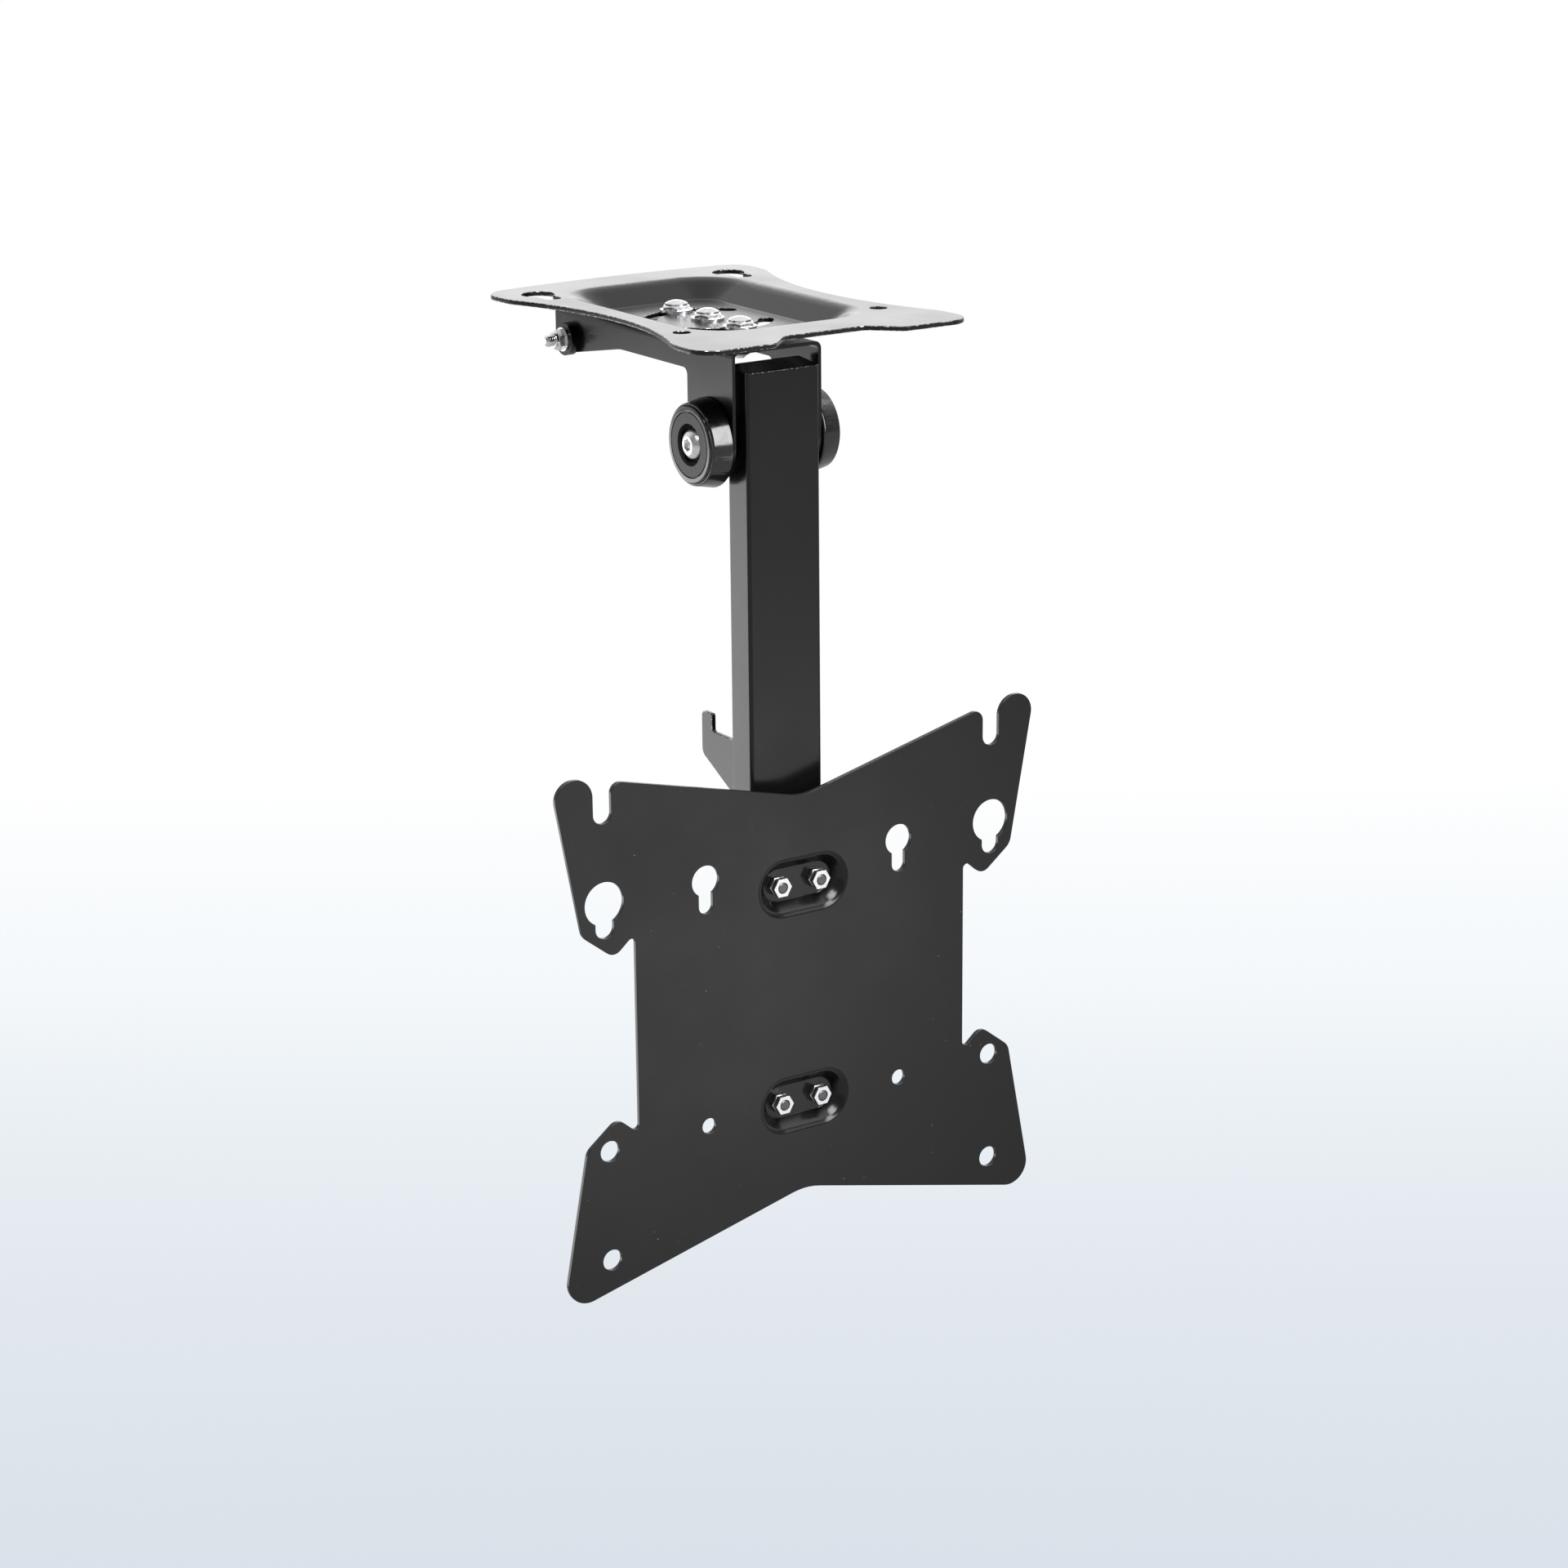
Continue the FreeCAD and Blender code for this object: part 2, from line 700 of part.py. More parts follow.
def add_collar(body, radius, bore, low, high, round_off):
    """The round crown that holds a lock nut's insert."""
    sketch = sketch_on(body, "XY_Plane", low)
    circle(sketch, 0, 0, radius)
    circle(sketch, 0, 0, bore)
    pad(body, sketch, high - low)
    crown = high.value

    def picked(edge):
        box = edge.BoundBox
        return abs(box.ZMin - crown) < TINY and abs(box.XLength / 2 - radius.value) < 0.01
    fillet(body, round_off, picked)


def add_dome(body):
    """The low round crown on a swivel bolt's hex head."""
    radius = d.top_head_dome_across / 2
    sag = d.top_head_height - d.top_head_rim_height
    curve = (radius * radius + sag * sag) / (sag * 2)
    low = -d.top_head_hex_height / 2
    sketch = sketch_on(body, "XZ_Plane")
    outline(sketch, [(0, low), (0, -d.top_head_height), (radius, -d.top_head_rim_height),
                     (radius, low)], {1: ("radius", curve, 1)})
    revolve(body, sketch)


def make_swivel_set():
    """Three bolts down through pan and web: domed heads in the pan, lock nuts under the web."""
    seat = pan_floor_top + d.top_washer_thick
    length = seat - web_under + d.m6_nut_height + d.m6_bolt_tail
    thread = d.m6_shank / 2 + d.thread_gap
    for name, step in SWIVEL_PLACES:
        y = d.swivel_bolt_radius * step
        bolt = make_bolt(f"swivel_bolt_{name}", d.top_head_flats, d.top_head_hex_height, d.m6_shank,
                         length, 0.2)
        add_dome(bolt)
        place(bolt, (0, y, seat), (1, 0, 0), 180)
        washer = make_ring(f"swivel_washer_{name}", d.top_washer_across / 2, m6_bore,
                           d.top_washer_thick)
        place(washer, (0, y, pan_floor_top))
        nut = make_nut(f"swivel_nut_{name}", d.m6_nut_flats, d.m6_nut_hex_height, thread,
                       both_ends=False)
        add_collar(nut, d.m6_nut_flats * 0.44, thread, d.m6_nut_hex_height, d.m6_nut_height,
                   (d.m6_nut_height - d.m6_nut_hex_height) * 0.6)
        place(nut, (0, y, web_under), (1, 0, 0), 180)
        across = d.slide_washer_across if step else d.swivel_disc_across
        label = f"slide_washer_{name}" if step else "swivel_disc"
        disc = make_ring(label, across / 2, m6_bore, d.swivel_disc_thick)
        place(disc, (0, y, web_top))


def make_latch_bolt():
    """The cross bolt that the arm's hook catches, with its end bosses and flange nut."""
    seat = channel_half + d.latch_boss_height
    length = seat * 2 + d.m5_nut_height + d.latch_bolt_tail
    thread = d.m5_shank / 2 + d.thread_gap
    bolt = make_bolt("latch_bolt", d.m5_head_flats, d.m5_head_height, d.m5_shank, length, 0.22)
    place(bolt, (seat, d.latch_back, -d.latch_below), (0, 1, 0), -90)
    for name, side in SIDES:
        boss = make_ring(f"latch_boss_{name}", d.latch_boss_across / 2, m5_bore,
                         d.latch_boss_height)
        place(boss, (channel_half * side, d.latch_back, -d.latch_below), (0, 1, 0), 90 * side)
    nut = make_ring("latch_nut", d.m5_flange_across / 2, thread, d.m5_flange_thick)
    hexed = sketch_on(nut, "XY_Plane", d.m5_flange_thick)
    hexagon(hexed, d.m5_head_flats)
    circle(hexed, 0, 0, thread)
    pad(nut, hexed, d.m5_nut_hex_height - d.m5_flange_thick)
    chamfer_hex(nut, d.m5_head_flats, d.m5_nut_hex_height, 1)
    add_collar(nut, d.m5_nut_collar_across / 2, thread, d.m5_nut_hex_height, d.m5_nut_height,
               (d.m5_nut_height - d.m5_nut_hex_height) * 0.6)
    place(nut, (-seat, d.latch_back, -d.latch_below), (0, 1, 0), -90)


def make_knob(name, side):
    """Round moulded hub cap: a drafted drum, a fine crease, a rounded rim and a ring-shaped inlay."""
    body = new_body(f"knob_{name}")
    seat = head_seat - channel_half
    shelf = d.knob_height - d.disc_thick
    recess = d.disc_bore / 2
    groove = d.disc_across / 2 + d.disc_groove
    rim = groove + d.knob_rim_wide
    crease = rim + d.knob_crease_wide
    front = crease + d.knob_shoulder
    radius = front + d.knob_draft
    height = d.knob_height
    level = height - d.knob_rim_back
    sketch = sketch_on(body, "XZ_Plane")
    outline(sketch, [(m8_bore, 0), (radius - d.knob_base_round, 0), (radius, d.knob_base_round),
                     (front, level - d.knob_shoulder), (crease, level),
                     (rim, level - d.knob_crease_deep), (rim, height - d.knob_rim_round),
                     (rim - d.knob_rim_round, height), (groove, height), (groove, shelf),
                     (recess, shelf), (recess, seat), (m8_bore, seat)],
            {1: ("radius", d.knob_base_round, 1), 3: ("radius", d.knob_shoulder, 1),
             6: ("radius", d.knob_rim_round, 1)})
    revolve(body, sketch)
    place(body, (channel_half * side, pivot_y, pivot_z), (0, 1, 0), 90 * side)
    inlay = make_ring(f"knob_disc_{name}", d.disc_across / 2, recess, d.disc_thick)
    place(inlay, ((channel_half + shelf) * side, pivot_y, pivot_z), (0, 1, 0), 90 * side)


def make_pivot_set():
    """The screw that the arm folds on, its nut, the hub caps, washers and spacers."""
    screw = new_body("pivot_screw")
    radius = d.m8_head_across / 2
    crown = d.m8_head_height
    stem = d.m8_shank / 2
    length = head_seat * 2 + d.m8_nut_height
    sketch = sketch_on(screw, "XZ_Plane")
    outline(sketch, [(0, -crown), (radius * 0.55, -crown), (radius, crown * -0.35), (radius, 0),
                     (stem, 0), (stem, length - 0.8), (stem - 0.8, length), (0, length)],
            {1: ("radius", radius * 0.75, 1)})
    revolve(screw, sketch)
    socket = sketch_on(screw, "XY_Plane", -crown)
    hexagon(socket, d.m8_socket_flats)
    pocket(screw, socket, d.m8_socket_depth, reverse=True)
    place(screw, (-head_seat, pivot_y, pivot_z), (0, 1, 0), 90)
    nut = make_nut("pivot_nut", d.m8_nut_flats, d.m8_nut_height, stem + d.thread_gap)
    place(nut, (head_seat, pivot_y, pivot_z), (0, 1, 0), 90)
    washer_face = channel_inner - d.ear_washer_thick
    spacer = washer_face - hinge_half - d.pivot_end_gap
    for name, side in SIDES:
        make_knob(name, side)
        washer = make_ring(f"ear_washer_{name}", d.ear_washer_across / 2, m8_bore,
                           d.ear_washer_thick)
        place(washer, (channel_inner * side, pivot_y, pivot_z), (0, 1, 0), -90 * side)
        tube = make_ring(f"pivot_spacer_{name}", d.pivot_spacer_across / 2,
                         stem + d.pivot_spacer_play, spacer)
        place(tube, (washer_face * side, pivot_y, pivot_z), (0, 1, 0), -90 * side)


def tube_section(sketch, inset):
    """The tube's outline or, with an inset, the outline of its hollow."""
    half = d.tube_width / 2 - inset
    rectangle(sketch, -half, tube_front + inset, half, tube_rear - inset)
    return [(x, y) for x in (-half, half) for y in (tube_front + inset, tube_rear - inset)]


def make_arm_tube():
    body = new_body("arm_tube")
    low = -d.arm_bottom + d.plug_flange
    length = d.arm_bottom - d.arm_top - d.plug_flange * 2
    sketch = sketch_on(body, "XY_Plane", low)
    corners = tube_section(sketch, as_size(0))
    pad(body, sketch, length)
    fillet(body, d.tube_round, corner_edges(2, corners))
    hollow = sketch_on(body, "XY_Plane", low)
    tube_section(hollow, d.tube_wall)
    pocket(body, hollow, length, reverse=True)
    holes = sketch_on(body, "XZ_Plane", -tube_front)
    for x, z in screen_bolt_places():
        circle(holes, x, z, m5_bore)
    pocket(body, holes, d.tube_wall)


def screen_bolt_places():
    pitch = d.screen_bolt_half_pitch
    rows = (screen_z + d.recess_half_pitch, screen_z - d.recess_half_pitch)
    return [(pitch * side, z) for z in rows for side in (-1, 1)]


def add_insert(body, level, up):
    """The part of an end piece that goes into the tube."""
    insert = sketch_on(body, "XY_Plane", level)
    tube_section(insert, d.tube_wall + d.plug_clearance)
    pad(body, insert, d.plug_insert, reverse=up)


def make_top_plug():
    """Upper end piece, a wedge as wide as the tube: its top rises a little toward the back."""
    body = new_body("top_plug")
    front = -d.arm_top
    level = front - d.plug_flange
    sketch = sketch_on(body, "YZ_Plane")
    outline(sketch, [(tube_front, level), (tube_rear, level), (tube_rear, front + d.top_cap_rise),
                     (tube_front, front)])
    pad(body, sketch, d.tube_width, symmetric=True)
    half = d.tube_width / 2
    corners = [(x, y) for x in (-half, half) for y in (tube_front, tube_rear)]
    fillet(body, d.tube_round, corner_edges(2, corners))
    add_insert(body, level, True)


def make_bottom_plug():
    """Lower end piece: a flange the size of the tube and a plain insert."""
    body = new_body("bottom_plug")
    level = -d.arm_bottom + d.plug_flange
    flange = sketch_on(body, "XY_Plane", level)
    corners = tube_section(flange, as_size(0))
    pad(body, flange, d.plug_flange, reverse=True)
    fillet(body, d.tube_round, corner_edges(2, corners))
    add_insert(body, level, False)


def make_hinge_bracket():
    """Small U bracket on the tube's back, slotted so that the arm can ride up on the screw."""
    body = new_body("hinge_bracket")
    slot_half = d.m8_shank / 2 + d.slot_clearance
    rear = pivot_y + slot_half + d.hinge_rear_margin
    top = pivot_z + d.hinge_top_margin
    low = pivot_z - d.latch_stroke - d.hinge_bottom_margin
    sketch = sketch_on(body, "YZ_Plane")
    rectangle(sketch, tube_rear, low, rear, top)
    pad(body, sketch, d.hinge_width, symmetric=True)
    fillet(body, d.hinge_round, corner_edges(0, [(rear, low), (rear, top)]))
    inner = hinge_half - d.hinge_sheet
    hollow = sketch_on(body, "XY_Plane", top)
    rectangle(hollow, -inner, tube_rear + d.hinge_sheet, inner, rear + 1)
    pocket(body, hollow, top - low)
    slot = sketch_on(body, "YZ_Plane")
    upright_slot(slot, pivot_y, pivot_z - d.latch_stroke, pivot_z, slot_half)
    pocket(body, slot, d.hinge_width, symmetric=True)


def make_hook_plate():
    """Flat hook behind the tube. Its finger lies on the latch bolt when the arm is folded up."""
    body = new_body("hook_plate")
    bolt_top = d.pivot_below - d.latch_below + d.m5_shank / 2
    inner = pivot_y + bolt_top + d.hook_latch_gap
    outer = inner + d.hook_finger_width
    notch = -d.hook_notch_below
    tip = notch + d.hook_finger_height
    heel = notch - d.hook_finger_drop
    profile = [(tube_rear, notch), (tube_rear, notch - d.hook_root_drop), (outer, heel),
               (outer, tip), (inner, tip), (inner, notch)]
    sketch = sketch_on(body, "YZ_Plane", -d.hook_offset)
    outline(sketch, profile)
    pad(body, sketch, d.hook_sheet, reverse=True)
    fillet(body, d.hook_heel_round, corner_edges(0, [profile[2]]))
    fillet(body, d.hook_tip_round, corner_edges(0, [profile[3]]))
    fillet(body, d.hook_tip_round * 0.5, corner_edges(0, [profile[4], profile[5]]))


def make_screen_plate():
    """Butterfly-shaped plate with the screen's hole patterns and two pressed recesses."""
    body = new_body("screen_plate")
    slot_half = d.open_slot_width / 2
    slot_in = d.pattern_half_wide - slot_half
    slot_out = d.pattern_half_wide + slot_half
    slot_low = screen_z + d.pattern_half_wide
    shoulder = screen_z + d.valley_half_height + slot_in * d.wing_slope
    top = screen_z + d.wing_top_half
    right = [(as_size(0), screen_z - d.valley_half_height),
             (d.wing_foot_half, screen_z - d.wing_foot_drop),
             (d.knee_half_x, screen_z - d.knee_half_z), (d.toe_half_x, screen_z - d.toe_half_z),
             (d.waist_half_x, screen_z - d.waist_half_z), (d.waist_half_x, screen_z + d.waist_half_z),
             (d.toe_half_x, screen_z + d.toe_half_z), (d.knee_half_x, screen_z + d.knee_half_z),
             (slot_out + d.wing_tip_wide, top), (slot_out, top), (slot_out, slot_low), (slot_in, slot_low),
             (slot_in, shoulder), (as_size(0), screen_z + d.valley_half_height)]
    left = [(-x, z) for x, z in reversed(right[1:-1])]
    arcs = {10: ("bulge", ("DistanceY", slot_low), -1), 15: ("bulge", ("DistanceY", slot_low), -1)}
    sketch = sketch_on(body, "XZ_Plane", -screen_front)
    outline(sketch, right + left, arcs)
    pad(body, sketch, d.screen_sheet, reverse=True)
    rounds = [(d.valley_round, (0, 13)), (d.foot_round, (1,)), (d.knee_round, (2, 7)),
              (d.toe_round, (3, 6)), (d.waist_round, (4, 5)), (d.wing_tip_round, (8,)),
              (d.wing_inner_round, (9,)), (d.shoulder_round, (12,))]
    for radius, numbers in rounds:
        corners = [right[number] for number in numbers]
        corners += [(-x, z) for x, z in corners]
        fillet(body, radius, corner_edges(1, corners))
    press_recesses(body)
    cut_screen_holes(body)


def recess_sketch(body, y, radius, middle):
    sketch = sketch_on(body, "XZ_Plane", -y)
    pitch = d.screen_bolt_half_pitch
    level_slot(sketch, -pitch, pitch, middle, radius)
    return sketch


def press_recesses(body):
    """Two oblong cups whose floors lie on the spacers, so that the nuts stand below the face."""
    floor = screen_seat - d.recess_sheet
    narrow = d.recess_floor_radius
    wide = narrow + d.recess_wall_run
    skin = d.recess_skin
    pitch = d.screen_bolt_half_pitch
    for side in (1, -1):
        middle = screen_z + d.recess_half_pitch * side
        reach = wide + skin
        window = ((pitch + reach, reach), (0, middle))
        loft(body, recess_sketch(body, screen_rear, wide + skin, middle),
             recess_sketch(body, screen_seat, narrow + skin, middle))
        fillet(body, d.recess_floor_blend + d.recess_sheet, level_edges(1, screen_seat, window))
        loft(body, recess_sketch(body, screen_front, wide, middle),
             recess_sketch(body, floor, narrow, middle), cut=True)
        fillet(body, d.recess_rim_blend, level_edges(1, screen_front, window))
        fillet(body, d.recess_floor_blend, level_edges(1, floor, window))


def cut_screen_holes(body):
    """The three hole patterns: open slots, keyholes and plain holes."""
    wide, narrow = d.pattern_half_wide, d.pattern_half_narrow
    upper, lower = screen_z + narrow, screen_z - narrow
    rounds = sketch_on(body, "XZ_Plane", -screen_rear)
    necks = sketch_on(body, "XZ_Plane", -screen_rear)
    for _, side in SIDES:
        circle(rounds, wide * side, upper + d.wide_key_travel, d.wide_key_entry / 2)
        circle(rounds, narrow * side, upper + d.narrow_key_travel, d.narrow_key_entry / 2)
        upright_slot(necks, wide * side, upper, upper + d.wide_key_travel, d.wide_key_neck / 2)
        upright_slot(necks, narrow * side, upper, upper + d.narrow_key_travel,
                     d.narrow_key_neck / 2)
        circle(rounds, wide * side, lower, d.wide_hole_bore / 2)
        circle(rounds, wide * side, screen_z - wide, d.wide_hole_bore / 2)
        circle(rounds, narrow * side, lower, d.narrow_hole_bore / 2)
    pocket(body, rounds, d.screen_sheet, reverse=True)
    pocket(body, necks, d.screen_sheet, reverse=True)
    floor_holes = sketch_on(body, "XZ_Plane", -screen_seat)
    for x, z in screen_bolt_places():
        circle(floor_holes, x, z, m5_bore)
    pocket(body, floor_holes, d.recess_sheet, reverse=True)


def make_screen_spacers():
    """Two flat bars between the tube's front and the floors of the recesses."""
    for name, side in (("upper", 1), ("lower", -1)):
        body = new_body(f"screen_spacer_{name}")
        middle = screen_z + d.recess_half_pitch * side
        wide, high = d.screen_spacer_half_wide, d.screen_spacer_half_high
        sketch = sketch_on(body, "XZ_Plane", -tube_front)
        rectangle(sketch, -wide, middle - high, wide, middle + high)
        pad(body, sketch, d.screen_spacer_thick)
        corners = [(x, z) for x in (-wide, wide) for z in (middle - high, middle + high)]
        fillet(body, d.screen_spacer_round, corner_edges(1, corners))
        holes = sketch_on(body, "XZ_Plane", -tube_front)
        for way in (-1, 1):
            circle(holes, d.screen_bolt_half_pitch * way, middle, m5_bore)
        pocket(body, holes, d.screen_spacer_thick, reverse=True)


def make_screen_fasteners():
    """Four bolts out through tube, spacer and recess, each with a jam nut and an outer nut."""
    floor = screen_seat - d.recess_sheet
    stem = d.m5_shank / 2
    thread = stem + d.thread_gap
    stack = d.jam_nut_height + d.screen_nut_height
    grip = d.tube_wall + d.screen_spacer_thick + d.recess_sheet + stack
    names = ("upper_left", "upper_right", "lower_left", "lower_right")
    for name, (x, z) in zip(names, screen_bolt_places()):
        bolt = new_body(f"screen_bolt_{name}")
        length = grip + d.screen_bolt_proud
        head = d.screen_bolt_head_across / 2
        sketch = sketch_on(bolt, "XZ_Plane")
        outline(sketch, [(0, -d.screen_bolt_head_height), (head * 0.6, -d.screen_bolt_head_height),
                         (head, d.screen_bolt_head_height * -0.3), (head, 0), (stem, 0),
                         (stem, length - 0.6), (stem - 0.6, length), (0, length)])
        revolve(bolt, sketch)
        place(bolt, (x, tube_front + d.tube_wall, z), (1, 0, 0), 90)
        jam = make_nut(f"jam_nut_{name}", d.screen_nut_flats, d.jam_nut_height, thread)
        place(jam, (x, floor, z), (1, 0, 0), 90)
        nut = make_nut(f"screen_nut_{name}", d.screen_nut_flats, d.screen_nut_height, thread)
        place(nut, (x, floor - d.jam_nut_height, z), (1, 0, 0), 90)


make_ceiling_plate()
make_channel_bracket()
make_swivel_set()
make_latch_bolt()
make_pivot_set()
make_arm_tube()
make_top_plug()
make_bottom_plug()
make_hinge_bracket()
make_hook_plate()
make_screen_plate()
make_screen_spacers()
make_screen_fasteners()
doc.recompute()

for item in doc.Objects:
    if "Invalid" in item.State or "Error" in item.State:
        raise RuntimeError(f"{item.Name} failed")
for body in bodies:
    shape = body.Shape
    if shape.isNull() or not shape.isValid() or len(shape.Solids) != 1:
        raise RuntimeError(f"{body.Label} is not one valid solid")
os.makedirs("parts", exist_ok=True)
for body in bodies:
    body.Shape.exportStep(f"parts/{body.Label}.step")
print(len(bodies), "parts written")
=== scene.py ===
import math

import bmesh
import bpy
from mathutils import Matrix, Vector


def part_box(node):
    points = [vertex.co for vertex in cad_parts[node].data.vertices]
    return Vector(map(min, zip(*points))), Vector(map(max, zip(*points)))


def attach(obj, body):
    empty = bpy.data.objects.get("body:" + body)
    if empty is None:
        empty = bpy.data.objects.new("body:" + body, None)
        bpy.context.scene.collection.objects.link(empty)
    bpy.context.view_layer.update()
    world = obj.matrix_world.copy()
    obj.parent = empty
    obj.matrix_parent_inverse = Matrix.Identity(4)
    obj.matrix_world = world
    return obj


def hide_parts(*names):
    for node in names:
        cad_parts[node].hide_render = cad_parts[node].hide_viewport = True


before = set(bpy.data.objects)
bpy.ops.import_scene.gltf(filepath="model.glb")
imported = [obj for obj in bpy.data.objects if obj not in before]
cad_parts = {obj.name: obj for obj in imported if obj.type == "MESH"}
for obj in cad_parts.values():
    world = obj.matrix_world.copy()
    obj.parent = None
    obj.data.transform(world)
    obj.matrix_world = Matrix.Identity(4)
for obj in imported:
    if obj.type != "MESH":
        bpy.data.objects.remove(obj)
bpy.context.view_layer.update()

# A fold-up ceiling mount for a flat screen: black enamelled steel, glossy hub caps, zinc fasteners.
# Lengths are metres. mm() turns a size in millimetres into metres.

scene = bpy.context.scene
scene.view_settings.view_transform = "Standard"


def mm(size):
    return size / 1000


def link(thing):
    scene.collection.objects.link(thing)
    return thing


def linear(code):
    """An sRGB hex colour as the linear RGBA that a shader socket takes."""
    channels = [int(code[start:start + 2], 16) / 255 for start in (1, 3, 5)]
    return [c / 12.92 if c <= 0.04045 else ((c + 0.055) / 1.055) ** 2.4 for c in channels] + [1.0]


def add(tree, kind, inputs=None, **settings):
    """Adds one node. inputs gives a socket's value, or the socket that feeds it."""
    node = tree.nodes.new(kind)
    for name, value in settings.items():
        setattr(node, name, value)
    for name, value in (inputs or {}).items():
        if isinstance(value, bpy.types.NodeSocket):
            tree.links.new(value, node.inputs[name])
        else:
            node.inputs[name].default_value = value
    return node


# Camera: the photograph's own, fitted to the screen plate's standard hole pattern.
YAW, PITCH, ROLL = (math.radians(angle) for angle in (33.71, 16.97, -0.53))
away_level = Vector((math.sin(YAW), math.cos(YAW), 0))
right_level = Vector((math.cos(YAW), -math.sin(YAW), 0))
away = away_level * math.cos(PITCH) - Vector((0, 0, 1)) * math.sin(PITCH)
up_level = Vector((0, 0, 1)) * math.cos(PITCH) + away_level * math.sin(PITCH)
right = right_level * math.cos(ROLL) + up_level * math.sin(ROLL)
up = up_level * math.cos(ROLL) - right_level * math.sin(ROLL)

lens = bpy.data.cameras.new("photo_camera")
lens.sensor_width = 36
lens.lens = 86.53
lens.clip_start = 0.05
lens.clip_end = 50
camera = link(bpy.data.objects.new("photo_camera", lens))
eye_x, eye_y, eye_z = mm(-860.6), mm(-1345.3), mm(271.8)
camera.matrix_world = Matrix((
    (right.x, up.x, -away.x, eye_x),
    (right.y, up.y, -away.y, eye_y),
    (right.z, up.z, -away.z, eye_z),
    (0, 0, 0, 1)))
scene.camera = camera

# Room: a pale floor well below the hanging mount, white surroundings and soft lamps.
FLOOR_DROP = 1.0
FLOOR_HALF = 9.0
LAMP_AIM = Vector((0, -0.03, -0.12))


def floor_paper():
    """Seamless paper, white far off and a pale blue-grey toward the front, with a soft shadow."""
    material = bpy.data.materials.new("seamless paper, blue-grey to white")
    material.use_nodes = True
    tree = material.node_tree
    tree.nodes.clear()
    place = add(tree, "ShaderNodeTexCoord")
    turned = add(tree, "ShaderNodeMapping", {"Vector": place.outputs["Object"],
                                             "Rotation": (0, 0, YAW)})
    parts = add(tree, "ShaderNodeSeparateXYZ", {"Vector": turned.outputs["Vector"]})
    # Metres along the paper, from just in front of the mount to where it is white in the picture
    front, white_from = -1.18, 2.62
    reach = add(tree, "ShaderNodeMapRange", {"Value": parts.outputs["Y"], "From Min": front,
                                             "From Max": white_from, "To Min": 0, "To Max": 1})
    # Seen from any other side, the paper turns white over these metres away from the mount
    grey_within, white_beyond = 2.8, 5.0
    out = add(tree, "ShaderNodeVectorMath", {0: place.outputs["Object"]}, operation="LENGTH")
    spread = add(tree, "ShaderNodeMapRange", {"Value": out.outputs["Value"],
                                              "From Min": grey_within, "From Max": white_beyond},
                 interpolation_type="SMOOTHSTEP")
    white_share = add(tree, "ShaderNodeMath", {0: reach.outputs["Result"],
                                               1: spread.outputs["Result"]}, operation="MAXIMUM")
    shade = add(tree, "ShaderNodeValToRGB", {"Fac": white_share.outputs[0]})
    stops = [(0.0, "#C8D0D7"), (0.5, "#D5DDE5"), (0.557, "#D9E1E7"), (0.612, "#DEE3EA"),
             (0.702, "#E6EBF0"), (0.812, "#F3F7FA"), (0.987, "#FFFFFF")]
    while len(shade.color_ramp.elements) < len(stops):
        shade.color_ramp.elements.new(0.5)
    for element, (position, code) in zip(shade.color_ramp.elements, stops):
        element.position = position
        element.color = linear(code)
    glow = add(tree, "ShaderNodeEmission", {"Color": shade.outputs["Color"], "Strength": 1.0})
    paper = add(tree, "ShaderNodeBsdfDiffuse", {"Color": shade.outputs["Color"], "Roughness": 1.0})
    path = add(tree, "ShaderNodeLightPath")
    plain = add(tree, "ShaderNodeMath", {0: path.outputs["Is Camera Ray"],
                                         1: path.outputs["Is Transmission Ray"]},
                operation="MAXIMUM")
    # Close by, the paper takes a trace of shadow. Far off it is plain white
    faded = add(tree, "ShaderNodeMapRange", {"Value": white_share.outputs[0], "From Min": 0.7,
                                             "From Max": 0.95, "To Min": 0.93, "To Max": 1.0})
    share = add(tree, "ShaderNodeMath", {0: plain.outputs[0], 1: faded.outputs["Result"]},
                operation="MULTIPLY")
    mix = add(tree, "ShaderNodeMixShader", {0: share.outputs[0], 1: paper.outputs[0],
                                            2: glow.outputs[0]})
    # Painted pool of light: an oval glow on the floor in front of the mount that only reflections
    # see, so that the gloss of the paint shows it
    pool_centre, pool_turn = (1.2, -2.05, -FLOOR_DROP), math.radians(-50.3)
    pool_half_long, pool_half_wide = 0.85, 0.24
    oval = add(tree, "ShaderNodeMapping", {"Vector": place.outputs["Object"],
                                           "Location": pool_centre, "Rotation": (0, 0, pool_turn),
                                           "Scale": (pool_half_long, pool_half_wide, 1)},
               vector_type="TEXTURE")
    off_pool = add(tree, "ShaderNodeVectorMath", {0: oval.outputs["Vector"]}, operation="LENGTH")
    painted_pool_glow = add(tree, "ShaderNodeMapRange", {"Value": off_pool.outputs["Value"],
                                             "From Min": 0.5, "From Max": 1.6,
                                             "To Min": 2.2, "To Max": 0.65},
                interpolation_type="SMOOTHSTEP")
    # The painted pool of light itself: white emission that only glossy rays meet
    mirrored = add(tree, "ShaderNodeEmission", {"Color": linear("#FFFFFF"),
                                                "Strength": painted_pool_glow.outputs["Result"]})
    whole = add(tree, "ShaderNodeMixShader", {0: path.outputs["Is Glossy Ray"], 1: mix.outputs[0],
                                              2: mirrored.outputs[0]})
    add(tree, "ShaderNodeOutputMaterial", {"Surface": whole.outputs[0]})
    return material


def lay_floor():
    mesh = bpy.data.meshes.new("floor")
    corners = [(x * FLOOR_HALF, y * FLOOR_HALF, -FLOOR_DROP)
               for x, y in ((-1, -1), (1, -1), (1, 1), (-1, 1))]
    mesh.from_pydata(corners, [], [(0, 1, 2, 3)])
    floor = link(bpy.data.objects.new("floor", mesh))
    mesh.materials.append(floor_paper())


